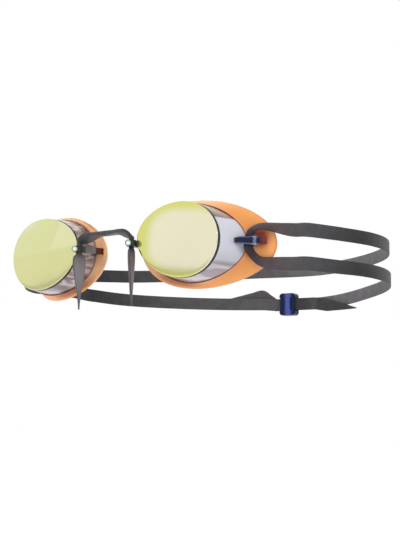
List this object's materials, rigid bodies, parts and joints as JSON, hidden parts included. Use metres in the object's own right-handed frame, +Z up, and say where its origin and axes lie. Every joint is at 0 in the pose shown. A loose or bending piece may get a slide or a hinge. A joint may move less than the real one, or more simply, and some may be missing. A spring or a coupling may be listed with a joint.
{
  "type": "swim goggles",
  "caption": "Low-profile racing swim goggles: two mirrored eye cups with soft gaskets, a flexible nose band and a split head strap with a slide buckle.",
  "frame": {"origin": "midway between the two lens centres, in the plane of the lens faces", "axes": "+Z up, +Y from the lens faces towards the back of the head, +X towards the wearer's left temple, which is the viewer's right"},
  "size_m": [0.1618, 0.1773, 0.0475],
  "materials": {
    "mirror_lens": "gold mirror coating on clear polycarbonate",
    "cup_wall": "clear smoky silver, glossy",
    "gasket": "soft translucent silicone, satin",
    "nose_post": "dark green tint, glossy",
    "strap_clip": "dark blue, glossy",
    "nose_band": "satin grey silicone",
    "strap": "matte dark grey silicone",
    "buckle": "glossy royal blue"
  },
  "bodies": {
    "bridge_and_strap": {"nose_bridge": "nose_band", "strap_side_right": "strap", "strap_side_left": "strap", "strap_back_upper": "strap", "strap_back_lower_right": "strap", "strap_back_lower_left": "strap"},
    "right_eye_cup": {"lens_right": "mirror_lens", "cup_right": "cup_wall", "gasket_right": "gasket", "nose_post_right": "nose_post", "strap_clip_right": "strap_clip"},
    "left_eye_cup": {"lens_left": "mirror_lens", "cup_left": "cup_wall", "gasket_left": "gasket", "nose_post_left": "nose_post", "strap_clip_left": "strap_clip"},
    "buckle": {"buckle": "buckle"}
  },
  "joints": [
    {"name": "right_cup_swing", "type": "hinge", "parent": "bridge_and_strap", "child": "right_eye_cup", "pos_m": [0.0166, -0.0019, 0], "axis": [0, 0, 1], "range_deg": [-8, 12], "deforming": ["strap_side_right"]},
    {"name": "left_cup_swing", "type": "hinge", "parent": "bridge_and_strap", "child": "left_eye_cup", "pos_m": [-0.0166, -0.0019, 0], "axis": [0, 0, -1], "range_deg": [-8, 12], "deforming": ["strap_side_left"]},
    {"name": "buckle_slide", "type": "slide", "parent": "bridge_and_strap", "child": "buckle", "axis": [0.9781, 0.2079, 0], "range_m": [-0.0035, 0.01]}
  ]
}
